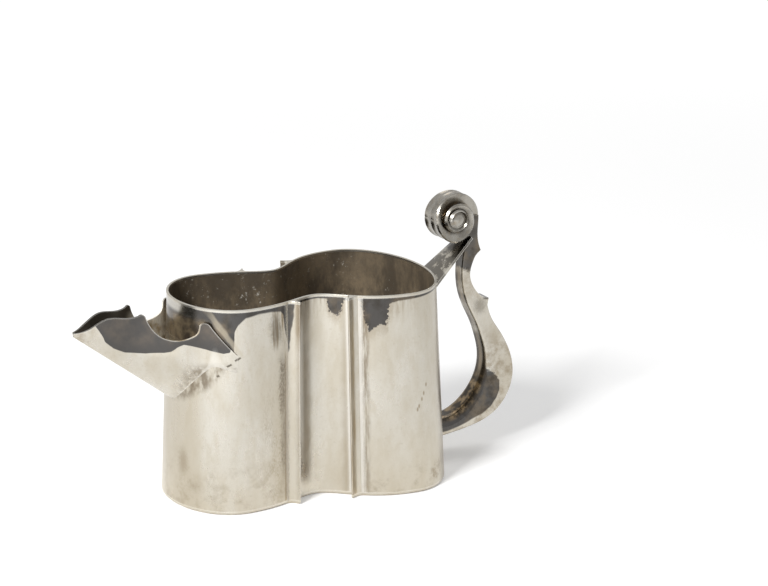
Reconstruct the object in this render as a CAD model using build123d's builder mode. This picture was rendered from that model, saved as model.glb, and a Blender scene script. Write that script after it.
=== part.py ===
from build123d import *
import os
from math import cos, pi, sin

# Silver cream jug whose plan is the outline of a violin.
# X runs along the jug: the spout points to -X and the handle to +X.
# Z is up from the table.  Y = 0 is the plane of symmetry.
# The origin lies on the underside, below the middle of the mouth.

# ---- driving dimensions, mm ------------------------------------------------
jug_height = 79.5            # table to the top of the rim
wall = 0.8                   # sheet of the sides
base_thickness = 1.2
base_edge_round = 0.5
rim_height = 0.9
rim_proud = 0.15             # how far the rim wire stands out of the sides
rim_round = 0.2
flare_x = 0.073              # growth of the plan from rim to table, along X
flare_y = 0.057              # the same, across

# plan of the body at the rim
upper_x = -33.0              # widest place of the small bout, under the spout
upper_reach = 19.9           # from there to the spout end
upper_half = 26.5
waist_x = -3.0
waist_half = 19.4
lower_x = 30.0               # widest place of the large bout
lower_reach = 21.8           # from there to the handle end
lower_half = 35.0

# pointed corners, placed along the side from small bout to large bout
corner_proud = 3.6
corner_tip_radius = 0.35
corner_half_width = 3.7
corner_sink = 0.5            # depth of the corner's feet in the sheet
corner_hollow = 0.85         # how far the flanks follow the sheet before they rise
upper_corner_at = 0.27
upper_corner_lean = 0.6
lower_corner_at = 0.66
lower_corner_lean = -1.0

# spout
spout_sheet = 1.0
keel_root_z = 40.5           # where the keel meets the body
keel_tip_x = -92.5
keel_tip_z = 69.5
spout_top_z = 82.0           # height of the blank before its edge is cut
spout_half_tip = 2.2         # half widths of the beak, from tip to flare
spout_half_neck = 6.6
spout_half_flare = 16.2
spout_turn_start = 4.0       # height over the keel where the sides stand upright
spout_turn_rate = 1.0        # and how it grows with the half width
spout_turn_ease = 0.3        # smaller is more of a V below
spout_stations = 10
spout_hug = 0.9              # how far it stands off the small bout beside its joint
mouth_x = -93.1              # blunt open end of the beak
mouth_height = 1.6           # its edge over the keel
thorn_1_x = -68.6
thorn_1_z = 77.2
scoop_z = 67.6
thorn_2_x = -48.4
thorn_2_z = 74.2
joint_end_x = -39.0
joint_end_z = 62.3
pour_half_width = 7.5
pour_top_z = 62.0
pour_bottom_z = 46.5

# handle
arm_root_z = 12.7            # middle of the arm where it leaves the body
arm_root_height = 9.8
# half thickness of the arm and rounding of its inner edges, at even steps along its
# inner curve from the root to the scroll
arm_halves = [6.0, 6.0, 5.7, 4.8, 4.1, 3.7, 3.5, 3.3, 3.1, 2.9, 2.7]
arm_rounds = [4.2, 4.2, 3.9, 3.0, 2.0, 1.3, 1.0, 0.9, 0.8, 0.8, 0.8]
arm_outer_round = 0.4
belly_x = 92.0               # furthest place of the arm from the body
belly_z = 30.0
belly_depth = 13.1           # thickness of the arm there, seen from the side
neck_x = 72.5                # narrowest place, between the two thorns
neck_z = 74.0
neck_depth = 3.8
low_thorn_out = 8.4          # thorn where the belly ends, from the neck
low_thorn_drop = 11.3
high_thorn_out = 4.8
high_thorn_rise = 8.7
scroll_x = 65.2
scroll_z = 97.1
scroll_radius = 11.0
scroll_half_width = 7.6
# the volute at each quarter turn from its outer end, as shares of radius and half width
turn_radii = [1.0, 0.91, 0.81, 0.85, 0.65, 0.58, 0.53, 0.46, 0.41, 0.385, 0.37]
turn_widths = [0.34, 0.46, 0.71, 0.83, 0.86, 0.88, 0.89, 0.91, 0.93, 0.95, 0.965]
turn_bevel = 0.8             # blunt edge of a turn, finer where the turn is narrow
turn_lap = 0.8               # how far a turn runs in under the next one
barrel_hollow = 0.7          # flute along the back of a turn, likewise
cheek_fall = 0.9             # the cheeks fall back towards the eye
eye_radius = 2.5
eye_dome = 0.9
strap_drop = 9.5             # from the rim down to its low end, inside the end wall
strap_reach = 6.8            # its high end, from the middle of the scroll
strap_fall = 7.8
strap_half_low = 9.6
strap_half_high = 4.2
strap_thickness = 1.6
strap_crown = 0.6            # its upper side is higher in the middle

parts_folder = "parts"
through = 200.0              # longer than anything it cuts


def grow_x(z):
    """Scale of the plan along X at height z."""
    return 1 + flare_x * (jug_height - z) / jug_height


def grow_y(z):
    """Scale of the plan across, at height z."""
    return 1 + flare_y * (jug_height - z) / jug_height


def side_line(z, inset=0.0):
    """One side of the plan at height z, from small bout through waist to large bout."""
    gx = grow_x(z)
    gy = grow_y(z)
    return Edge.make_spline(
        [
            (upper_x * gx, upper_half * gy - inset),
            (waist_x * gx, waist_half * gy - inset),
            (lower_x * gx, lower_half * gy - inset),
        ],
        tangents=[(1, 0), (1, 0)],
    )


def body_plan(z, inset=0.0):
    """The whole plan of the body at height z, smaller all round by inset."""
    gx = grow_x(z)
    gy = grow_y(z)
    with BuildSketch() as plan:
        with BuildLine():
            EllipticalCenterArc(
                (upper_x * gx, 0), upper_reach * gx - inset, upper_half * gy - inset, 90, arc_size=90
            )
            EllipticalCenterArc(
                (lower_x * gx, 0), lower_reach * gx - inset, lower_half * gy - inset, 0, arc_size=90
            )
            add(side_line(z, inset))
            mirror(about=Plane.XZ)
        make_face()
    return plan.sketch


def corner_plan(z, at, lean, side, grow=0.0):
    """A pointed corner at height z: feet in the sheet, hollow flanks, a blunt tip."""
    line = side_line(z)
    along = line.tangent_at(at)
    out = Vector(-along.Y, along.X)
    foot = line.position_at(at)
    reach = along * (corner_half_width + grow)
    left = foot - reach - out * corner_sink
    right = foot + reach - out * corner_sink
    tip = foot + along * lean + out * (corner_proud + grow)
    blunt = along * corner_tip_radius
    crown = tip + out * corner_tip_radius
    inward = out * (corner_sink + 3 * wall)
    corner_points = [left, tip - blunt, crown, tip + blunt, right, right - inward, left - inward]
    p = [Vector(v.X, v.Y * side) for v in corner_points]
    hollow = Vector(reach.X, reach.Y * side) * corner_hollow
    with BuildSketch() as plan:
        with BuildLine():
            Bezier(p[0], p[0] + hollow, p[1])
            ThreePointArc(p[1], p[2], p[3])
            Bezier(p[3], p[4] - hollow, p[4])
            Polyline(p[4], p[5], p[6], p[0])
        make_face()
    return plan.sketch


wall_top = jug_height - rim_height
corners = {
    "upper": (upper_corner_at, upper_corner_lean),
    "lower": (lower_corner_at, lower_corner_lean),
}
sides_of_jug = {"near": -1, "far": 1}

far_plane = Plane.XZ.offset(-through / 2)     # far beside the jug

# ---- forms that other pieces are cut to ------------------------------------
with BuildPart() as body_form:
    for z in (base_thickness, wall_top):
        with BuildSketch(Plane.XY.offset(z)):
            add(body_plan(z))
    loft(ruled=True)

with BuildPart() as cavity_form:
    for z in (base_thickness, wall_top):
        with BuildSketch(Plane.XY.offset(z)):
            add(body_plan(z, wall))
    loft(ruled=True)

# ---- the four corner posts -------------------------------------------------
posts = {}
for corner, (at, lean) in corners.items():
    for side_name, side in sides_of_jug.items():
        with BuildPart() as post:
            for z in (base_thickness, wall_top):
                with BuildSketch(Plane.XY.offset(z)):
                    add(corner_plan(z, at, lean, side))
            loft(ruled=True)
            add(cavity_form.part, mode=Mode.SUBTRACT)
        posts[f"corner_post_{corner}_{side_name}"] = post

# ---- sides: four sheets that meet at the corner posts ----------------------
with BuildPart() as side_ring:
    add(body_form.part)
    add(cavity_form.part, mode=Mode.SUBTRACT)
    for post in posts.values():
        add(post.part, mode=Mode.SUBTRACT)

sheets = side_ring.part.solids().sort_by(Axis.X)
waist_sheets = ShapeList(sheets[1:3]).sort_by(Axis.Y)

# ---- base: a flat sheet under the sides and the posts ----------------------
# each level gives a height and how far the outline stands in from the sides there
base_levels = [(0, base_edge_round), (base_edge_round, 0), (base_thickness, 0)]
with BuildPart() as base_plate:
    for z, inset in base_levels:
        with BuildSketch(Plane.XY.offset(z)):
            add(body_plan(base_thickness, inset))
    loft(ruled=True)
    for at, lean in corners.values():
        for side in sides_of_jug.values():
            for z, inset in base_levels:
                with BuildSketch(Plane.XY.offset(z)):
                    add(corner_plan(base_thickness, at, lean, side, -inset))
            loft(ruled=True)

# ---- rim wire round the mouth ----------------------------------------------
rim_levels = [(wall_top, 0), (jug_height - rim_round, 0), (jug_height, rim_round)]
with BuildPart() as rim_wire:
    for z, inset in rim_levels:
        with BuildSketch(Plane.XY.offset(z)):
            add(body_plan(wall_top, inset - rim_proud))
    loft(ruled=True)
    for at, lean in corners.values():
        for side in sides_of_jug.values():
            for z, inset in rim_levels:
                with BuildSketch(Plane.XY.offset(z)):
                    add(corner_plan(wall_top, at, lean, side, rim_proud - inset))
            loft(ruled=True)
    for z, inset in rim_levels:
        with BuildSketch(Plane.XY.offset(z)):
            add(body_plan(wall_top, wall - inset))
    loft(ruled=True, mode=Mode.SUBTRACT)

# ---- spout: an open trough of sheet with a scalloped edge -------------------
spout_root_x = (upper_x - upper_reach) * grow_x(keel_root_z)


def keel_z(x):
    """Height of the straight keel at x."""
    return keel_root_z + (keel_tip_z - keel_root_z) * (spout_root_x - x) / (spout_root_x - keel_tip_x)


def body_half(x, z):
    """Half width of the small bout at x and height z."""
    along = (x - upper_x * grow_x(z)) / (upper_reach * grow_x(z))
    return upper_half * grow_y(z) * (1 - along**2) ** 0.5


def trough_section(x, half_width, inset):
    """Section of the spout's blank at x: upright sides that run into a rounded keel."""
    low = keel_z(x) + inset
    half = half_width - inset
    turn = keel_z(x) + spout_turn_start + spout_turn_rate * half_width
    drop = (turn - keel_z(x)) * spout_turn_ease
    with BuildSketch() as section:
        with BuildLine():
            Line((0, low), (0, spout_top_z))
            Line((0, spout_top_z), (half, spout_top_z))
            Line((half, spout_top_z), (half, turn))
            Bezier((half, turn), (half, turn - drop), (half * spout_turn_ease, low), (0, low))
        make_face()
        mirror(about=Plane.YZ)
    return section.sketch


hug_length = joint_end_x - thorn_2_x
hug_stations = [thorn_2_x + hug_length * share for share in (0, 0.5, 1, 1.5)]

# one edge of the spout seen from above: a slender beak that flares to hug the small bout
spout_side = Edge.make_spline(
    [
        (keel_tip_x - 1.5, spout_half_tip),
        (thorn_1_x - 8.5, spout_half_neck - 1.0),
        (thorn_1_x, spout_half_neck + 1.0),
        (thorn_1_x + 12.5, spout_half_flare),
        *[(x, body_half(x, joint_end_z) + spout_hug) for x in hug_stations],
    ]
)
stations = [spout_side.position_at(i / spout_stations) for i in range(spout_stations + 1)]

with BuildPart() as spout:
    for place in stations:
        with BuildSketch(Plane.YZ.offset(place.X)):
            add(trough_section(place.X, place.Y, 0))
    loft()
    for place in stations:
        with BuildSketch(Plane.YZ.offset(place.X)):
            add(trough_section(place.X, place.Y, spout_sheet))
    loft(mode=Mode.SUBTRACT)
    # everything above the scalloped edge is cut away
    with BuildSketch(far_plane):
        with BuildLine():
            lip = Spline(
                (mouth_x, keel_z(mouth_x) + mouth_height),
                (keel_tip_x + 4.5, keel_tip_z + 3.7),
                (thorn_1_x - 12.6, thorn_1_z - 0.6),
                (thorn_1_x - 5.5, thorn_1_z - 1.1),
                (thorn_1_x - 1.2, thorn_1_z - 0.5),
            )
            crest = ThreePointArc(
                lip @ 1, (thorn_1_x, thorn_1_z), (thorn_1_x + 1.1, thorn_1_z - 1.1)
            )
            scoop = Spline(
                crest @ 1,
                (thorn_1_x + 2.5, scoop_z + 5.0),
                (thorn_1_x + 5.7, scoop_z + 1.2),
                (thorn_1_x + 10.5, scoop_z),
                (thorn_2_x - 3.4, scoop_z + 1.6),
                (thorn_2_x - 1.7, thorn_2_z - 1.6),
                tangents=[(0.25, -1), (0.1, 1)],
            )
            hook = ThreePointArc(
                scoop @ 1, (thorn_2_x - 0.4, thorn_2_z), (thorn_2_x + 1.3, thorn_2_z - 0.8)
            )
            fall = Spline(
                hook @ 1, (joint_end_x - 4.3, joint_end_z + 5.2), (joint_end_x, joint_end_z)
            )
            Polyline(
                fall @ 1, (joint_end_x, 0), (0, 0), (0, through),
                (-through, through), (-through, 0), (mouth_x, 0), lip @ 0,
            )
        make_face()
    extrude(amount=through, mode=Mode.SUBTRACT)
    add(body_form.part, mode=Mode.SUBTRACT)

# ---- pour opening through the sheet behind the spout ------------------------
with BuildPart() as pour_opening:
    with BuildSketch(Plane.YZ.offset(upper_x)):
        corner_r = pour_half_width / 3
        with Locations(
            (pour_half_width - corner_r, pour_top_z - corner_r),
            (corner_r - pour_half_width, pour_top_z - corner_r),
            (0, pour_bottom_z + corner_r),
        ):
            Circle(corner_r)
        make_hull()
    extrude(amount=-through)

# ---- scroll: a violin's volute, each turn standing out further than the last ----
volute_turns = (len(turn_radii) - 1) / 4


def turn_value(shares, turns):
    """Share at a place on the volute, counted in turns from its outer end."""
    quarter = min(int(turns * 4), len(shares) - 2)
    return shares[quarter] + (shares[quarter + 1] - shares[quarter]) * (turns * 4 - quarter)


def turn_plane(turns):
    """Plane through the axis of the scroll at this place on the volute."""
    angle = 2 * pi * turns
    return Plane(
        origin=(scroll_x, 0, scroll_z),
        x_dir=(cos(angle), 0, sin(angle)),
        z_dir=(-sin(angle), 0, cos(angle)),
    )


def turn_section(turns):
    """Section of one turn: two cheeks, blunt edges and a fluted back."""
    out = scroll_radius * turn_value(turn_radii, turns)
    width_share = turn_value(turn_widths, turns)
    half = scroll_half_width * width_share
    bevel = turn_bevel * width_share
    flute = barrel_hollow * width_share
    low = scroll_radius * turn_value(turn_radii, min(turns + 1, volute_turns)) - turn_lap
    with BuildSketch() as section:
        with BuildLine():
            Line((low, 0), (low, half - cheek_fall))
            cheek = Line((low, half - cheek_fall), (out - bevel, half))
            edge = Line(cheek @ 1, (out, half - bevel))
            ThreePointArc(edge @ 1, (out - flute, half / 2), (out - flute / 4, 0))
            mirror(about=Plane.XZ)
        make_face()
    return section.sketch


with BuildPart() as handle_scroll:
    for half_turn in range(int(volute_turns * 2)):
        for eighth in range(5):
            turns = half_turn / 2 + eighth / 8
            with BuildSketch(turn_plane(turns)):
                add(turn_section(turns))
        loft()
    # the hub inside the last turn, with the eye as a small dome on each side
    hub_radius = scroll_radius * turn_value(turn_radii, volute_turns) - turn_lap / 2
    hub_half = scroll_half_width - eye_dome - cheek_fall / 2
    with BuildSketch(Plane(origin=(scroll_x, 0, scroll_z), x_dir=(0, 1, 0), z_dir=(1, 0, 0))):
        with BuildLine():
            dome = ThreePointArc(
                (scroll_half_width, 0),
                (scroll_half_width - eye_dome / 4, eye_radius / 2),
                (scroll_half_width - eye_dome, eye_radius),
            )
            Polyline(dome @ 1, (hub_half, hub_radius), (0, hub_radius), (0, 0), dome @ 0)
        make_face()
        mirror(about=Plane.YZ)
    revolve(axis=Axis((scroll_x, 0, scroll_z), (0, 1, 0)))

# ---- handle arm -------------------------------------------------------------
root_low = arm_root_z - arm_root_height / 2
root_high = arm_root_z + arm_root_height / 2
arm_start_x = lower_x + lower_reach - 1.8     # inside the body, where the sheet cuts the arm off
inner_belly_x = belly_x - belly_depth
inner_neck_x = neck_x - neck_depth
low_thorn_x = neck_x + low_thorn_out
low_thorn_z = neck_z - low_thorn_drop
high_thorn_x = neck_x + high_thorn_out
high_thorn_z = neck_z + high_thorn_rise
with BuildPart() as arm_blank:
    with BuildSketch(far_plane):
        with BuildLine():
            belly = Spline(
                (arm_start_x, root_low),
                (belly_x - 25.0, root_low + 2.3),
                (belly_x - 7.3, belly_z - 13.7),
                (belly_x, belly_z),
                (low_thorn_x + 4.5, low_thorn_z - 13.4),
                (low_thorn_x - 0.5, low_thorn_z - 2.5),
                tangents=[(1, 0.1), (-0.2, 1)],
            )
            low_thorn = Line(belly @ 1, (low_thorn_x, low_thorn_z))
            hollow = Spline(
                low_thorn @ 1,
                (low_thorn_x - 5.5, low_thorn_z + 3.3),
                (neck_x, neck_z),
                (high_thorn_x - 3.2, high_thorn_z - 3.6),
                (high_thorn_x, high_thorn_z),
                tangents=[(-1, 0.1), (1, 0.7)],
            )
            back = Spline(
                hollow @ 1,
                (high_thorn_x - 1.4, high_thorn_z + 5.2),
                (scroll_x + scroll_radius * turn_radii[0], scroll_z),
                tangents=[(-0.5, 1), (0, 1)],
            )
            Polyline(back @ 1, (arm_start_x, scroll_z), belly @ 0)
        make_face()
    extrude(amount=through)

# the arm is a tube at its root and thins to a blade towards the scroll
arm_inner_curve = Edge.make_spline(
    [
        (arm_start_x, 0, root_high),
        (inner_belly_x - 8.9, 0, root_high + 2.2),
        (inner_belly_x, 0, belly_z + 5.0),
        (inner_neck_x + 4.2, 0, low_thorn_z - 4.9),
        (inner_neck_x, 0, neck_z + 1.0),
        (inner_neck_x + 2.2, 0, high_thorn_z + 2.8),
        (scroll_x + scroll_radius * turn_radii[4] / 2, 0, scroll_z),
    ]
)
section_reach = 1.3 * belly_depth             # past the outline, which cuts the arm next
with BuildPart() as handle_arm:
    for i in range(len(arm_halves)):
        along_arm = i / (len(arm_halves) - 1)
        place = arm_inner_curve @ along_arm
        heading = arm_inner_curve % along_arm
        half = arm_halves[i]
        rounding = arm_rounds[i]
        with BuildSketch(Plane(origin=place, x_dir=(0, -1, 0), z_dir=heading)):
            with BuildLine():
                Line((0, 0), (half - rounding, 0))
                CenterArc((half - rounding, rounding), rounding, -90, 90)
                Polyline((half, rounding), (half, section_reach), (0, section_reach))
                mirror(about=Plane.YZ)
            make_face()
    loft()
    add(arm_blank.part, mode=Mode.INTERSECT)
    fillet(handle_arm.edges().sort_by(SortBy.LENGTH)[-6:-4], arm_outer_round)
    add(body_form.part, mode=Mode.SUBTRACT)
    add(handle_scroll.part, mode=Mode.SUBTRACT)

# ---- strap from under the scroll to the end of the body ---------------------
strap_low = Vector(arm_start_x, 0, jug_height - strap_drop)
strap_high = Vector(scroll_x + strap_reach, 0, scroll_z - strap_fall)
slope = strap_high - strap_low
with BuildPart() as handle_strap:
    for foot, half in ((strap_low, strap_half_low), (strap_high, strap_half_high)):
        with BuildSketch(Plane(origin=foot, x_dir=(0, 1, 0), z_dir=slope)):
            with BuildLine():
                top = ThreePointArc((half, -strap_crown), (0, 0), (-half, -strap_crown))
                Polyline(
                    top @ 1, (-half, -strap_thickness), (half, -strap_thickness), top @ 0
                )
            make_face()
    loft(ruled=True)
    add(body_form.part, mode=Mode.SUBTRACT)
    add(handle_arm.part, mode=Mode.SUBTRACT)

with BuildPart() as upper_bout_wall:
    add(sheets[0])
    add(pour_opening.part, mode=Mode.SUBTRACT)

with BuildPart() as waist_wall_near:
    add(waist_sheets[0])

with BuildPart() as waist_wall_far:
    add(waist_sheets[1])

with BuildPart() as lower_bout_wall:
    add(sheets[3])

# ---- every piece in its own file ---------------------------------------------
pieces = {
    "base_plate": base_plate,
    "upper_bout_wall": upper_bout_wall,
    "waist_wall_near": waist_wall_near,
    "waist_wall_far": waist_wall_far,
    "lower_bout_wall": lower_bout_wall,
    **posts,
    "rim_wire": rim_wire,
    "spout": spout,
    "handle_arm": handle_arm,
    "handle_strap": handle_strap,
    "handle_scroll": handle_scroll,
}
os.makedirs("parts", exist_ok=True)
for piece_name, piece in pieces.items():
    piece.part.label = piece_name
    export_step(piece.part, f"parts/{piece_name}.step")
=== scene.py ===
import bpy
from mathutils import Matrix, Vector

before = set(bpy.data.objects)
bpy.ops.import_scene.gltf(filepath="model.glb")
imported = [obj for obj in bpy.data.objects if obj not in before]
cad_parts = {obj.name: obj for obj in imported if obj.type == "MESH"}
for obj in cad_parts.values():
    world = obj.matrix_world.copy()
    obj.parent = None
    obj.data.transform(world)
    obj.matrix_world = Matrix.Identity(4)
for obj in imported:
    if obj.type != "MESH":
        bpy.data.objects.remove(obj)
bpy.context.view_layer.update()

MM = 0.001
RIM_Z = 79.5           # height of the rim, in millimetres
FOOT_GROWTH = 0.073    # how much larger the plan is on the table than at the rim

# ---- camera: a long lens, from the left and above ---------------------------------
camera_data = bpy.data.cameras.new("camera")
camera_data.sensor_fit = "HORIZONTAL"
camera_data.sensor_width = 36.0
camera_data.lens = 121.2
camera_data.clip_start = 0.01
camera_data.clip_end = 50.0
camera = bpy.data.objects.new("camera", camera_data)
bpy.context.scene.collection.objects.link(camera)
camera.location = (-0.4098, -0.8607, 0.3517)
view_direction = Vector((0.44143, 0.85271, -0.27932))
camera.rotation_euler = view_direction.to_track_quat("-Z", "Y").to_euler()
bpy.context.scene.camera = camera
bpy.context.scene.view_settings.view_transform = "Standard"


# ---- node helpers ---------------------------------------------------------------
class Nodes:
    """A node tree, with short calls for the nodes used here. A mask is a value from 0 to 1."""

    def __init__(self, tree):
        self.tree = tree

    def new(self, kind, **settings):
        node = self.tree.nodes.new(kind)
        for key, value in settings.items():
            setattr(node, key, value)
        return node

    def put(self, socket, value):
        """Links a socket, or sets a plain value."""
        if isinstance(value, bpy.types.NodeSocket):
            self.tree.links.new(value, socket)
        else:
            socket.default_value = value

    def math(self, operation, a, b=0.0):
        node = self.new("ShaderNodeMath", operation=operation)
        self.put(node.inputs[0], a)
        self.put(node.inputs[1], b)
        return node.outputs[0]

    def fold(self, operation, values):
        """One value from several, taken two by two."""
        result = values[0]
        for value in values[1:]:
            result = self.math(operation, result, value)
        return result

    def mul(self, *values):
        """Product of several values."""
        return self.fold("MULTIPLY", values)

    def add(self, *values):
        """Sum of several values."""
        return self.fold("ADD", values)

    def most(self, *values):
        """Largest of several values."""
        return self.fold("MAXIMUM", values)

    def minus(self, a, b):
        return self.math("SUBTRACT", a, b)

    def invert(self, mask):
        return self.minus(1.0, mask)

    def vector(self, operation, a, b=(0, 0, 0)):
        node = self.new("ShaderNodeVectorMath", operation=operation)
        self.put(node.inputs[0], a)
        self.put(node.inputs[1], b)
        return node.outputs["Value" if operation in ("LENGTH", "DOT_PRODUCT") else "Vector"]

    def axes(self, vector):
        """The x, y and z of a vector."""
        node = self.new("ShaderNodeSeparateXYZ")
        self.put(node.inputs[0], vector)
        return node.outputs

    def point(self, x, z=0.0):
        """A point in the middle plane of the jug."""
        node = self.new("ShaderNodeCombineXYZ")
        self.put(node.inputs[0], x)
        self.put(node.inputs[2], z)
        return node.outputs[0]

    def upright(self, place, share):
        """Place with less height, in which noise is drawn out upright."""
        return self.vector("MULTIPLY", place, (1.0, 1.0, share))

    def remap(self, value, low, high, to_low, to_high, kind="LINEAR"):
        """Value moved from one range to another, and held at the ends."""
        node = self.new("ShaderNodeMapRange", interpolation_type=kind)
        for socket, item in zip(node.inputs, (value, low, high, to_low, to_high)):
            self.put(socket, item)
        return node.outputs[0]

    def ramp(self, value, low, high, to_low=0.0, to_high=1.0):
        """A smooth step as value goes from low to high; low may be the larger one."""
        return self.remap(value, low, high, to_low, to_high, "SMOOTHSTEP")

    def noise(self, place, scale, detail=3.0, rough=0.55, output="Fac"):
        node = self.new("ShaderNodeTexNoise")
        self.put(node.inputs["Vector"], place)
        self.put(node.inputs["Scale"], scale)
        self.put(node.inputs["Detail"], detail)
        self.put(node.inputs["Roughness"], rough)
        return node.outputs[output]

    def patches(self, place, scale, low, high, detail=3.0, rough=0.55):
        """Mask of patches: 0 where noise is under low, 1 where it is over high."""
        return self.ramp(self.noise(place, scale, detail, rough), low, high)

    def jitter(self, place, scale, reach, detail, rough=0.55):
        """A noisy shift within a box of this reach."""
        drift = self.noise(place, scale, detail, rough, "Color")
        return self.vector("MULTIPLY", self.vector("SUBTRACT", drift, (0.5, 0.5, 0.5)), (reach, reach, reach))

    def mix(self, share, a, b):
        """Colour a, with this share of colour b."""
        node = self.new("ShaderNodeMix", data_type="RGBA")
        self.put(node.inputs[0], share)
        for socket, colour in ((node.inputs[6], a), (node.inputs[7], b)):
            self.put(socket, (*colour, 1.0) if isinstance(colour, tuple) else colour)
        return node.outputs[2]

    def outline(self, value, points):
        """Height of a boundary at a place along it: straight runs between a few points."""
        (first, _), (last, _) = points[0], points[-1]
        heights = [height for _, height in points]
        low, high = min(heights), max(heights)
        node = self.new("ShaderNodeFloatCurve")
        curve = node.mapping.curves[0]
        for _ in points[2:]:
            curve.points.new(0.5, 0.5)
        for point, (along, height) in zip(curve.points, points):
            point.location = ((along - first) / (last - first), (height - low) / (high - low))
            point.handle_type = "VECTOR"
        node.mapping.update()
        self.put(node.inputs["Value"], self.remap(value, first, last, 0.0, 1.0))
        return self.remap(node.outputs[0], 0.0, 1.0, low, high)

    def above(self, value, limit, soft=0.3):
        """Mask of where value is over the limit."""
        return self.ramp(self.minus(value, limit), -soft, soft)

    def band(self, value, middle, half, soft):
        """Mask of a band round middle, which fades outside half."""
        away = self.math("ABSOLUTE", self.minus(value, middle))
        return self.ramp(away, half + soft, half)

    def blob(self, place, centre, radii, soft=0.1):
        """Mask of an ellipsoid; an axis with radius 0 is ignored."""
        shrink = tuple(1 / r if r else 0.0 for r in radii)
        away = self.vector("MULTIPLY", self.vector("SUBTRACT", place, centre), shrink)
        return self.ramp(self.vector("LENGTH", away), 1 + soft, 1 - soft)

    def closeness(self, distance, inside=False):
        """Near 1 in crevices, or inside=True on outer edges, within this many millimetres."""
        node = self.new("ShaderNodeAmbientOcclusion", inside=inside, samples=4)
        node.inputs["Distance"].default_value = distance * MM
        return self.invert(node.outputs["AO"])


class Spot:
    """Where a shader point lies, in millimetres on the object.

    Masks made from smooth places have gently waved edges, those from ragged ones torn edges.
    plan_x is the x that the spot would have at the rim, so that marks along the posts stay upright.
    """

    def __init__(self, n):
        self.place = n.vector("MULTIPLY", n.new("ShaderNodeTexCoord").outputs["Object"], (1000, 1000, 1000))
        smooth = n.vector("ADD", self.place, n.jitter(self.place, 0.16, 1.6, detail=2))
        torn = n.vector("ADD", smooth, n.jitter(self.place, 0.9, 4.0, detail=4, rough=0.65))
        self.ragged = n.vector("ADD", torn, n.jitter(self.place, 2.6, 1.8, detail=2))
        self.x, self.y, self.z = n.axes(self.place)
        self.smooth_x, _, self.smooth_z = n.axes(smooth)
        self.ragged_x, _, self.ragged_z = n.axes(self.ragged)
        growth = n.minus(1 + FOOT_GROWTH, n.mul(self.z, FOOT_GROWTH / RIM_Z))
        self.plan_x = n.math("DIVIDE", self.x, growth)
        self.normal = n.new("ShaderNodeTexCoord").outputs["Normal"]
        self.near = n.math("LESS_THAN", self.y, 0.0)


# ---- colours: metals, browns and near-blacks, each roughly from light to dark ------
PALE_GOLD = (0.95, 0.90, 0.78)
WORN_AND_HIGHLIGHT = (0.78, 0.76, 0.71)
GLEAM = (0.78, 0.75, 0.68)
CRUST = (0.62, 0.59, 0.52)
PALE = (0.565, 0.54, 0.482)
CREAM = (0.56, 0.50, 0.39)
WARM = (0.45, 0.40, 0.31)
GOLD = (0.42, 0.31, 0.17)

GLINT = (0.34, 0.27, 0.18)
OCHRE = (0.33, 0.26, 0.165)
UMBER = (0.30, 0.235, 0.15)
COPPER_GLINT = (0.30, 0.22, 0.13)
BROWN = (0.26, 0.205, 0.135)
INSIDE_WARM = (0.26, 0.20, 0.128)
HAZEL = (0.23, 0.19, 0.14)
DEEP_HAZEL = (0.19, 0.145, 0.088)
DULL_STAIN = (0.17, 0.14, 0.105)
STAIN = (0.17, 0.13, 0.085)
DEEP_STAIN = (0.15, 0.115, 0.075)

ASH = (0.13, 0.12, 0.105)
DEEP_ASH = (0.12, 0.11, 0.095)
WARM_ASH = (0.12, 0.10, 0.083)
PEAT = (0.115, 0.092, 0.068)
SOOT = (0.10, 0.085, 0.065)
INSIDE_DARK = (0.092, 0.072, 0.05)
# slate: painted dark reflection, and painted shadow in thin lines under the rim
SLATE_REFLECTION = (0.060, 0.058, 0.058)
UMBRA = (0.055, 0.042, 0.029)
SHADE_BROWN = (0.050, 0.041, 0.031)
GROOVE_SHADE = (0.045, 0.039, 0.032)
MOUTH = (0.045, 0.038, 0.028)
PITCH = (0.030, 0.027, 0.024)

# in the place of a colour: the zone keeps its colour and loses its shine
DULL = "dull film"


# ---- silver ---------------------------------------------------------------------
def material(name):
    """A new material with a principled shader."""
    mat = bpy.data.materials.new(name)
    mat.use_nodes = True
    mat.node_tree.nodes.clear()
    n = Nodes(mat.node_tree)
    shader = n.new("ShaderNodeBsdfPrincipled")
    out = n.new("ShaderNodeOutputMaterial")
    mat.node_tree.links.new(shader.outputs[0], out.inputs[0])
    return mat, n, shader


def pale_metal(n, spot, clouds, base, warm):
    """Colour of worn silver: clouds, streaks, specks and blotches, creamier near the table."""
    streaks = n.patches(n.upright(spot.place, 0.16), 0.28, 0.42, 0.75, detail=4, rough=0.6)
    specks = n.patches(spot.place, 0.8, 0.58, 0.74, rough=0.6)
    blotches = n.patches(n.upright(spot.place, 0.45), 0.22, 0.44, 0.68, detail=5, rough=0.7)
    grain = n.patches(spot.place, 1.7, 0.35, 0.75, rough=0.7)
    colour = n.mix(clouds, base, warm)
    colour = n.mix(n.mul(streaks, 0.22), colour, warm)
    colour = n.mix(n.mul(specks, 0.20), colour, BROWN)
    colour = n.mix(n.mul(blotches, 0.38), colour, warm)
    colour = n.mix(n.mul(grain, 0.20), colour, warm)
    return n.mix(n.ramp(spot.smooth_z, 34, 2, 0.0, 0.30), colour, CREAM)


def painted_reflection(n, spot):
    """Painted dark reflection: blue grey, brown in places and blacker in others."""
    brown = n.patches(spot.place, 0.11, 0.46, 0.68, rough=0.6)
    black = n.patches(spot.place, 0.2, 0.42, 0.70, detail=4, rough=0.65)
    return n.mix(n.mul(black, 0.65), n.mix(brown, SLATE_REFLECTION, PEAT), PITCH)


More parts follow.
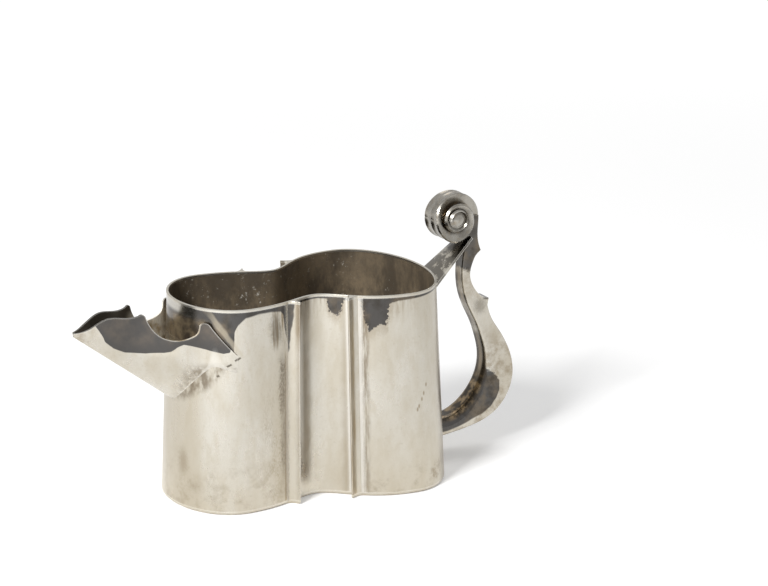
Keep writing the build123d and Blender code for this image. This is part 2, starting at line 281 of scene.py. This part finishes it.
def inner_side(n, spot):
    """Mask of the faces that look at the hollow of the jug: the inner side of the sheet and the bottom."""
    line_from, line_to = -33.0, 30.0    # ends of a line along the middle of the hollow
    bottom_limit = 3.0                  # under this height, what faces up is the bottom
    middle = n.math("MINIMUM", n.math("MAXIMUM", spot.x, line_from), line_to)
    outwards = n.vector("MULTIPLY", n.vector("SUBTRACT", spot.place, n.point(middle)), (1, 1, 0))
    wall = n.math("LESS_THAN", n.vector("DOT_PRODUCT", outwards, spot.normal), -0.5)
    faces_up = n.math("GREATER_THAN", n.vector("DOT_PRODUCT", spot.normal, (0, 0, 1)), 0.5)
    return n.most(wall, n.mul(faces_up, n.math("LESS_THAN", spot.z, bottom_limit)))


def inner_grime(n, spot):
    """Colour of the film inside the jug: brown, darker in a band under the rim, with white specks."""
    light = n.patches(n.upright(spot.place, 0.5), 0.085, 0.40, 0.64, detail=5, rough=0.68)
    under_rim = n.ramp(spot.smooth_z, 60, 74)
    light = n.mul(light, n.invert(n.mul(under_rim, 0.45)))
    sooty = n.patches(spot.place, 0.7, 0.40, 0.70, detail=4, rough=0.7)
    spotted = n.patches(spot.place, 0.06, 0.46, 0.60, detail=2)
    crust = n.patches(spot.place, 0.62, 0.60, 0.67, detail=4, rough=0.75)
    colour = n.mix(light, INSIDE_DARK, INSIDE_WARM)
    colour = n.mix(n.mul(sooty, 0.35), colour, SOOT)
    return n.mix(n.mul(crust, spotted, 0.75), colour, CRUST)


def relief(n, spot):
    """Normal with shallow dents, fine scratches round the jug and small pits."""
    dents = n.noise(spot.place, 0.05, detail=2)
    pits = n.patches(spot.place, 1.3, 0.62, 0.78, rough=0.6)
    scratches = n.noise(n.vector("MULTIPLY", spot.place, (0.25, 0.25, 2.6)), 1.1, detail=4)
    bump = n.new("ShaderNodeBump")
    bump.inputs["Strength"].default_value = 0.16
    bump.inputs["Distance"].default_value = 1.0 * MM
    n.put(bump.inputs["Height"], n.add(n.mul(dents, 2.4), n.mul(scratches, 0.03), n.mul(pits, -0.03)))
    return bump.outputs[0]


def no_zones(n, s):
    """No marks beside those that all silver has."""
    return ()


def silver(name, zones=no_zones, base=PALE, warm=WARM, inside=False, rough=0.27, edge=0.6, grime_and_shade=0.75):
    """Worn silver: pale metal, marks from zones, crevices with brown grime and painted shade, and worn edges
    lightened by wear and a painted highlight.

    zones(n, spot) gives pairs of a mask and the colour it brings, the last one on top.
    inside=True covers the side that faces the hollow of the jug with film.
    """
    mat, n, shader = material(name)
    spot = Spot(n)
    clouds = n.mul(n.patches(n.upright(spot.place, 0.45), 0.07, 0.36, 0.72, detail=5, rough=0.62), 0.55)
    colour = pale_metal(n, spot, clouds, base, warm)

    reflections, films = [], []
    for mask, tint in zones(n, spot):
        if tint == DULL:
            films.append(n.mul(mask, 0.6))
            continue
        # slate zones get painted dark reflection, and painted shadow where they run as a thin line under the
        # rim
        if tint == SLATE_REFLECTION:
            reflections.append(mask)
            tint = painted_reflection(n, spot)
        colour = n.mix(mask, colour, tint)

    # brown grime and painted shade in crevices
    crevice_grime_and_shade = n.ramp(n.closeness(2.6), 0.30, 0.85)
    mottle = n.patches(spot.place, 0.45, 0.30, 0.62, detail=4, rough=0.65)
    colour = n.mix(n.mul(crevice_grime_and_shade, mottle, grime_and_shade), colour, BROWN)
    # edges lightened by wear and by a painted highlight
    worn = n.ramp(n.closeness(0.45, inside=True), 0.16, 0.50)
    colour = n.mix(n.mul(worn, edge), colour, WORN_AND_HIGHLIGHT)
    roughness = n.add(rough, n.mul(clouds, 0.10), n.mul(n.most(0.0, *reflections), -0.08))

    if inside:
        inward = inner_side(n, spot)
        colour = n.mix(inward, colour, inner_grime(n, spot))
        roughness = n.add(roughness, n.mul(inward, 0.16))
        films.append(n.mul(inward, 0.70))

    n.put(shader.inputs["Base Color"], colour)
    n.put(shader.inputs["Roughness"], roughness)
    n.put(shader.inputs["Metallic"], n.invert(n.most(*films)) if films else 1.0)
    n.put(shader.inputs["Normal"], relief(n, spot))
    return mat


# ---- marks of each piece, as places in millimetres --------------------------------
def speckle(n, s, share=0.5):
    """Mask of short upright specks that stand close together in loose groups."""
    tall = n.upright(s.place, 0.4)
    specks = n.patches(tall, 2.2, share - 0.10, share + 0.14, rough=0.7)
    return n.mul(specks, n.patches(tall, 0.25, 0.30, 0.62, detail=2))


def slot(n, s, x, z, half):
    """Mask of a small mark on the near side that rises to the right."""
    across, up = n.minus(s.plan_x, x), n.minus(s.z, z)
    along = n.add(n.mul(across, 0.8), n.mul(up, 0.6))
    aside = n.add(n.mul(across, -0.6), n.mul(up, 0.8))
    return n.mul(n.band(along, 0.0, half, 0.35), n.band(aside, 0.0, 0.22, 0.28), s.near)


def upper_zones(n, s):
    """Small bout: a painted dark reflection under the rim and by the spout, a brown column by the post."""
    x, z = s.plan_x, s.z
    # painted reflection: warmer at the end and towards the post
    yield n.mul(n.ramp(x, -46.5, -50.5), 0.6), WARM
    yield n.mul(n.ramp(s.smooth_x, -27, -19), n.ramp(z, 66, 40), 0.65), WARM
    # streaks and soot beside the post, high up
    streaks = n.patches(n.upright(s.place, 0.06), 1.1, 0.42, 0.62)
    yield n.mul(n.band(s.smooth_x, -21.2, 2.2, 1.6), n.ramp(z, 60, 66), streaks, 0.9), BROWN
    yield n.mul(n.blob(s.ragged, (-22.4, 0, 70), (2.4, 0, 6), 0.6), 0.55, s.near), SOOT
    # a line along the post, a column of specks beside it and a haze of them further off
    yield n.mul(n.ramp(x, -18.6, -17.9), n.ramp(z, 62, 56), 0.85), UMBER
    column = n.mul(n.band(s.ragged_x, -19.7, 0.6, 2.0), n.ramp(z, 64, 54), n.ramp(z, 6, 22))
    yield n.mul(column, n.add(0.32, n.mul(speckle(n, s, 0.46), 0.6))), DULL_STAIN
    haze = n.mul(n.blob(s.ragged, (-24.5, 0, 26), (4.6, 0, 22), 0.8), speckle(n, s))
    yield n.mul(haze, 0.5), BROWN
    # clouds near the table and two dents by the end
    cloud = n.patches(s.place, 0.16, 0.46, 0.70, detail=5, rough=0.7)
    yield n.mul(n.ramp(s.ragged_z, 30, 4), cloud, 0.40), BROWN
    yield n.mul(n.blob(s.ragged, (-54.5, -9.5, 18), (3, 2.6, 4.5), 0.8), 0.55), BROWN
    yield n.mul(n.blob(s.ragged, (-51.5, -15, 10), (2.5, 3, 2.5), 0.8), 0.3), BROWN
    # the painted dark reflection under the rim, which comes down beside the spout and beside the post
    limit = n.outline(
        s.smooth_x,
        [(-56, 66), (-46, 62.5), (-41, 61.5), (-39.9, 62.5), (-39.4, 71), (-38.2, 73.8), (-35, 76.3),
         (-30, 77.2), (-24.7, 77.1), (-20.2, 76.4), (-18.9, 75), (-18.4, 70), (-17.4, 65),
         (-16.2, 61), (-12, 61)],
    )
    yield n.mul(n.above(z, limit, 0.4), 0.95), SLATE_REFLECTION
    # a paler strip along the edge of the spout
    slant = n.add(n.minus(z, 62.5), n.mul(n.add(s.smooth_x, 39.3), 1.62))
    strip = n.mul(n.band(slant, 2.6, 0.9, 1.6), n.ramp(x, -49, -44), n.ramp(z, 60, 64))
    yield n.mul(strip, 0.5), WARM
    # the wall behind the scoop of the spout is brown and dull, with a pale gleam over it at the end
    behind = n.mul(n.ramp(x, -46.0, -48.5), n.ramp(s.smooth_z, 76, 73), n.ramp(z, 60, 62))
    patches = n.patches(s.place, 0.12, 0.40, 0.62, detail=4)
    yield n.mul(behind, 0.94), n.mix(patches, UMBRA, DEEP_HAZEL)
    yield n.mul(n.ramp(x, -50.0, -51.6), n.ramp(z, 74.5, 76.5), n.ramp(z, 79, 78.4), 0.8), PALE
    yield behind, DULL
    # brown stains run down from the joint with the spout, and three small slots lie beside it
    joint = n.add(n.minus(s.smooth_z, 62.3), n.mul(n.add(s.smooth_x, 39.0), -1.12))
    seam = n.mul(n.ramp(joint, -5.0, -0.6), n.ramp(z, 63, 60), n.ramp(x, -41, -44))
    stains = n.patches(n.upright(s.place, 0.5), 0.35, 0.30, 0.62, detail=4, rough=0.6)
    yield n.mul(seam, stains, 0.8), DEEP_STAIN
    for slot_x, slot_z, half in ((-37.9, 60.7, 1.0), (-41.2, 58.2, 0.6), (-44.1, 54.2, 0.25)):
        yield n.mul(slot(n, s, slot_x, slot_z, half), 0.85), SOOT


def waist_zones(n, s):
    """Waist: a painted dark reflection in a tongue under the rim, painted shadow in a thin line under the rim
    beside it, and brown streaks by the posts.
    """
    x, z = s.plan_x, s.z
    streaks = n.patches(n.upright(s.place, 0.06), 0.9, 0.45, 0.66)
    yield n.mul(n.ramp(s.ragged_z, 66, 78), streaks, 0.6), BROWN
    # a painted highlight: a pale, dull column by the upper post
    column = n.band(x, -11.6, 1.6, 1.6)
    yield n.mul(column, n.ramp(z, 74, 64), n.ramp(z, 2, 30, 0.2, 0.9)), GLEAM
    yield n.mul(column, n.ramp(z, 78, 64), n.ramp(z, 2, 30, 0.2, 0.9)), DULL
    yield n.mul(n.ramp(s.smooth_x, 3.8, 6.4), 0.45), BROWN
    # painted dark reflection in the tongue, painted shadow in the thin line under the rim
    limit = n.outline(
        s.ragged_x,
        [(-16, 77.3), (-3, 77.9), (0.6, 77.7), (1.3, 74.6), (2.0, 72.4), (3.9, 71.0), (4.9, 73.4),
         (5.6, 77.4), (9, 77.7)],
    )
    under = n.mul(n.above(s.ragged_z, n.minus(limit, 3.0), 2.5), 0.35)
    yield n.mul(under, n.band(s.smooth_x, 3.0, 2.2, 1.5)), BROWN
    yield n.mul(n.above(z, limit, 0.3), 0.92), SLATE_REFLECTION


def lower_zones(n, s):
    """Large bout: a torn dark patch of painted reflection beside the post and a dark line of painted shadow
    under the rim.
    """
    x, z = s.plan_x, s.z
    yield n.mul(n.ramp(s.smooth_x, 30, 44), 0.25), WARM
    # a column by the post, and streaks under the rim
    tall = n.upright(s.place, 0.12)
    column = n.mul(n.band(s.smooth_x, 11.3, 1.1, 1.5), n.patches(tall, 0.9, 0.26, 0.62, detail=4, rough=0.7))
    yield n.mul(column, n.ramp(z, 8, 60, 0.65, 1.0)), HAZEL
    streaks = n.patches(tall, 0.8, 0.44, 0.66)
    yield n.mul(n.ramp(s.ragged_z, 67, 77), n.ramp(x, 34, 24), streaks, 0.5), BROWN
    # clouds near the table, one of them by the handle
    cloud = n.patches(s.place, 0.16, 0.46, 0.70, detail=5, rough=0.7)
    yield n.mul(n.ramp(s.ragged_z, 18, 3), cloud, 0.45), BROWN
    yield n.mul(n.blob(s.ragged, (41, 0, 6), (4, 0, 5), 0.7), cloud, 0.8), BROWN
    for dot_x, dot_z in ((35.6, 42.6), (34.4, 39.4), (33.5, 37.2), (32.2, 34.6), (31.5, 33.4)):
        yield n.mul(n.blob(s.place, (dot_x, 0, dot_z), (0.4, 0, 0.8), 0.5), s.near, 0.75), BROWN
    # painted dark reflection in the torn patch, painted shadow in the line under the rim
    limit = n.outline(
        s.ragged_x,
        [(9, 78), (10.6, 77), (11.6, 72.5), (12.4, 69), (13.0, 65.2), (15.1, 66.9), (17.2, 68.6),
         (19.3, 67.8), (20.2, 71), (20.6, 76.4), (24, 77.2), (34, 77.6), (44, 78), (58, 78.6)],
    )
    under = n.mul(n.above(s.ragged_z, n.minus(limit, 3.5), 3.0), 0.4)
    yield n.mul(under, n.band(s.smooth_x, 15.6, 5.2, 2.5)), BROWN
    yield n.mul(n.above(z, limit, 0.3), 0.94), SLATE_REFLECTION


def upper_post_zones(n, s):
    """Upper post: painted dark reflection on its left flank near the rim, brown on its right flank."""
    x, z = s.plan_x, s.z
    yield n.mul(n.ramp(x, -14.8, -13.8), n.ramp(s.ragged_z, 58, 70, 0.10, 0.75)), BROWN
    # painted dark reflection on the left flank
    edge = n.add(-16.6, n.mul(n.minus(z, 60.0), 0.11))
    yield n.mul(n.above(edge, s.smooth_x, 0.3), n.above(s.ragged_z, 60.5, 1.5), 0.92), SLATE_REFLECTION
    foot = n.mul(n.ramp(x, -15.9, -16.8), n.ramp(z, 60, 45), speckle(n, s, 0.47))
    yield n.mul(foot, 0.6), SOOT


def lower_post_zones(n, s):
    """Lower post: ochre streaks on the flank towards the waist, brown on the other."""
    x = s.plan_x
    streaks = n.patches(n.upright(s.place, 0.1), 0.9, 0.35, 0.62)
    yield n.mul(n.ramp(x, 8.3, 7.5), n.add(0.25, n.mul(streaks, 0.5))), OCHRE
    yield n.mul(n.ramp(x, 9.4, 10.2), 0.5), BROWN


def spout_zones(n, s):
    """Spout: painted dark reflection above a wavy line outside, brown and gold inside."""
    x, z = s.x, s.z
    # stains at the tip and at the root
    yield n.mul(n.ramp(x, -84, -91), n.patches(s.place, 0.3, 0.40, 0.66, detail=4, rough=0.7), 0.5), BROWN
    root = n.mul(n.ramp(x, -58, -50), n.ramp(z, 60, 54), 0.75)
    yield n.mul(root, n.patches(s.place, 0.35, 0.36, 0.60, detail=4, rough=0.7)), STAIN
    # painted dark reflection above a wavy line, warmer higher up
    limit = n.outline(
        s.smooth_x,
        [(-95, 80), (-87.5, 79), (-86, 74.5), (-84.5, 71.7), (-82.5, 67.9), (-79.2, 64.9),
         (-74.8, 62.9), (-67.9, 62.3), (-62.1, 62.9), (-59.9, 63.6), (-58, 65.2), (-56, 66.2),
         (-53.4, 65.6), (-49.6, 64.5), (-46.2, 63.6), (-43.5, 63.1), (-41.6, 63.7), (-40.6, 68), (-36, 80)],
    )
    warmer = n.mul(n.ramp(n.minus(z, limit), 0.5, 7.0), n.patches(s.place, 0.12, 0.3, 0.7))
    yield n.mul(n.above(z, limit, 0.16), 0.95), n.mix(warmer, SLATE_REFLECTION, WARM_ASH)
    for slot_x, slot_z, half in ((-41.0, 58.6, 0.7), (-38.6, 60.9, 0.6)):
        yield n.mul(slot(n, s, slot_x, slot_z, half), 0.85), SOOT
    # the lining: the faces that look at a line along the middle of the trough
    towards = n.vector("SUBTRACT", n.point(s.x, 86.0), s.place)
    within = n.math("GREATER_THAN", n.vector("DOT_PRODUCT", towards, s.normal), 0.0)
    golden = n.mix(n.patches(s.place, 0.15, 0.32, 0.54), GOLD, PALE_GOLD)
    golden = n.mix(n.ramp(s.smooth_z, 71, 76), golden, SOOT)
    yield n.mul(within, 0.96), n.mix(n.ramp(s.smooth_x, -71, -64), MOUTH, golden)
    yield within, DULL


def arm_zones(n, s):
    """Arm: painted dark reflection at the neck and round the bend, pale between, painted shade in dark brown
    on the sides that look at the jug.
    """
    x, z = s.x, s.z
    cloud = n.patches(s.place, 0.2, 0.40, 0.66, detail=5, rough=0.7)
    yield n.mul(n.ramp(s.ragged_z, 56, 38), cloud, 0.65), BROWN
    yield n.mul(n.ramp(s.ragged_z, 58, 68), cloud, 0.5), BROWN
    yield n.mul(n.blob(s.ragged, (81, 0, 35), (1.6, 0, 1.4), 0.4), 0.5), BROWN
    yield n.mul(n.blob(s.ragged, (77, 0, 60), (2.4, 0, 3), 0.6), 0.45), SOOT
    # the painted dark reflection on the bend, between a lower and an upper line
    under = n.outline(
        s.smooth_x,
        [(50, 9.6), (61.7, 10.6), (67.5, 12), (72.2, 13.7), (77.6, 15.4), (81.6, 17.7), (84.4, 20.8),
         (85.6, 24), (86.4, 40), (100, 40)],
    )
    over = n.outline(
        s.smooth_x,
        [(50, 60), (77.5, 60), (79, 36), (79.8, 33), (81.9, 31.8), (84.5, 29.8), (86, 26.5), (100, 5)],
    )
    bend = n.mul(n.above(z, under, 0.35), n.above(over, s.ragged_z, 0.5), n.ramp(z, 42, 36))
    yield n.mul(bend, 0.93), SLATE_REFLECTION
    # painted shade with painted glints on the upper side of the root, which looks at the jug
    lining = n.ramp(n.vector("DOT_PRODUCT", s.normal, (-0.7, 0.0, 0.7)), 0.35, 0.70)
    glints = n.patches(s.place, 0.25, 0.42, 0.62, detail=4, rough=0.6)
    yield n.mul(lining, n.ramp(z, 36, 28), 0.9), n.mix(glints, SHADE_BROWN, COPPER_GLINT)
    # painted dark reflection on the neck, and painted shade under a thorn
    slanted = n.add(s.ragged_z, n.mul(x, 0.5))
    yield n.mul(n.above(slanted, 110.5, 0.8), 0.9), SLATE_REFLECTION
    yield n.mul(n.blob(s.place, (80.4, 0, 62.9), (2.0, 0, 0.8), 0.4), 0.8), SLATE_REFLECTION
    # painted shade on the inner side of the blade, with a painted highlight line along its middle
    reach = n.outline(
        z,
        [(5, 80), (30, 80), (36.7, 79.8), (42.1, 79.1), (47.1, 77.7), (51.8, 75.9), (55.9, 74.0),
         (61, 71.6), (66.1, 69.9), (69.8, 69.3), (80, 69.2)],
    )
    side = n.mul(n.ramp(n.minus(reach, s.smooth_x), -0.3, 0.5), n.ramp(z, 26, 34), n.ramp(z, 78, 72))
    yield n.mul(side, 0.94), SHADE_BROWN
    yield n.mul(side, n.band(s.y, -0.6, 0.5, 1.4), 0.40), GLINT


def strap_zones(n, s):
    """Strap: painted dark reflection, with torn pale patches."""
    # painted dark reflection, broken by torn pale patches
    patches = n.patches(s.place, 0.16, 0.50, 0.57, detail=5, rough=0.7)
    yield n.mul(n.invert(patches), 0.85), DEEP_ASH
    # painted dark reflection along the top
    yield n.mul(n.ramp(s.ragged_z, 82, 85), 0.85), SLATE_REFLECTION


def scroll_zones(n, s):
    """Scroll: grey-brown cheeks and barrel, darker in patches, with painted shade in the grooves."""
    yield n.mul(n.patches(s.place, 0.22, 0.44, 0.66, detail=4, rough=0.65), 0.6), ASH
    # painted shade in the grooves
    yield n.mul(n.ramp(n.closeness(1.5), 0.08, 0.36), 0.9), GROOVE_SHADE
    yield n.mul(n.patches(s.place, 0.5, 0.52, 0.66, rough=0.65), 0.35), BROWN


# ---- dressing ---------------------------------------------------------------------
def dress(node, mat):
    """Gives every slot of a CAD node this material."""
    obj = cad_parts[node]
    if not obj.material_slots:
        obj.data.materials.append(mat)
    for material_slot in obj.material_slots:
        material_slot.link = "OBJECT"
        material_slot.material = mat


for nodes, mat in (
    (("upper_bout_wall",), silver("upper_silver", upper_zones, inside=True)),
    (("waist_wall_near", "waist_wall_far"), silver("waist_silver", waist_zones, inside=True, grime_and_shade=0.35)),
    (("lower_bout_wall",), silver("lower_silver", lower_zones, inside=True)),
    (("corner_post_upper_near", "corner_post_upper_far"),
     silver("upper_post_silver", upper_post_zones, inside=True)),
    (("corner_post_lower_near", "corner_post_lower_far"),
     silver("lower_post_silver", lower_post_zones, inside=True)),
    (("rim_wire",), silver("rim_silver", base=(0.56, 0.54, 0.49), rough=0.3, edge=0.2, grime_and_shade=0.6)),
    (("base_plate",), silver("base_silver", inside=True)),
    (("spout",), silver("spout_silver", spout_zones, edge=0.35)),
    (("handle_arm",), silver("arm_silver", arm_zones, edge=0.3)),
    (("handle_strap",), silver("strap_silver", strap_zones, base=(0.55, 0.53, 0.48), edge=0.9)),
    # the scroll's dark grey-brown base is a painted dark reflection
    (("handle_scroll",), silver("scroll_silver", scroll_zones, base=(0.38, 0.365, 0.33),
                                warm=(0.22, 0.195, 0.155), rough=0.24, edge=0.5)),
):
    for node in nodes:
        dress(node, mat)


# ---- floor, world and lamps -----------------------------------------------------
def seen_directly(n):
    """1 for camera, glossy and transmission rays."""
    path = n.new("ShaderNodeLightPath").outputs
    return n.most(path["Is Camera Ray"], path["Is Glossy Ray"], path["Is Transmission Ray"])


def lamp(name, place, aim, size, power):
    """A square lamp that looks from a place at an aim, in metres and watts."""
    data = bpy.data.lights.new(name, "AREA")
    data.shape = "SQUARE"
    data.size = size
    data.energy = power
    obj = bpy.data.objects.new(name, data)
    obj.location = place
    obj.rotation_euler = (Vector(aim) - Vector(place)).to_track_quat("-Z", "Y").to_euler()
    bpy.context.scene.collection.objects.link(obj)


floor_half = 4.0
floor_mesh = bpy.data.meshes.new("floor")
floor_mesh.from_pydata(
    [(-floor_half, -floor_half, 0), (floor_half, -floor_half, 0),
     (floor_half, floor_half, 0), (-floor_half, floor_half, 0)],
    [], [(0, 1, 2, 3)],
)
floor = bpy.data.objects.new("floor", floor_mesh)
floor.location.z = -0.2 * MM
bpy.context.scene.collection.objects.link(floor)

floor_material = bpy.data.materials.new("floor_white")
floor_material.use_nodes = True
floor_tree = floor_material.node_tree
floor_tree.nodes.clear()
floor_nodes = Nodes(floor_tree)
matt = floor_nodes.new("ShaderNodeBsdfDiffuse")
matt.inputs["Color"].default_value = (0.86, 0.86, 0.86, 1)
glow = floor_nodes.new("ShaderNodeEmission")
# the lamps fall off, so the glow rises with distance and the floor stays white
away = floor_nodes.vector("LENGTH", floor_nodes.new("ShaderNodeTexCoord").outputs["Object"])
strength = floor_nodes.mul(seen_directly(floor_nodes), floor_nodes.ramp(away, 0.3, 1.6, 0.27, 0.70))
floor_nodes.put(glow.inputs["Strength"], strength)
both = floor_nodes.new("ShaderNodeAddShader")
floor_tree.links.new(matt.outputs[0], both.inputs[0])
floor_tree.links.new(glow.outputs[0], both.inputs[1])
floor_tree.links.new(both.outputs[0], floor_nodes.new("ShaderNodeOutputMaterial").inputs[0])
floor_mesh.materials.append(floor_material)

world = bpy.data.worlds.new("studio")
bpy.context.scene.world = world
world.use_nodes = True
world_tree = world.node_tree
world_tree.nodes.clear()
world_nodes = Nodes(world_tree)
sky = world_nodes.new("ShaderNodeBackground")
# white to look at, softer as a light
world_nodes.put(sky.inputs["Strength"], world_nodes.ramp(seen_directly(world_nodes), 0, 1, 0.38, 1.0))
world_tree.links.new(sky.outputs[0], world_nodes.new("ShaderNodeOutputWorld").inputs[0])

lamp("key", (-0.85, -0.50, 0.75), (0, 0, 0.03), 0.35, 17.0)
lamp("fill", (0.4, 0.5, 1.2), (0, 0, 0.04), 0.8, 4.0)
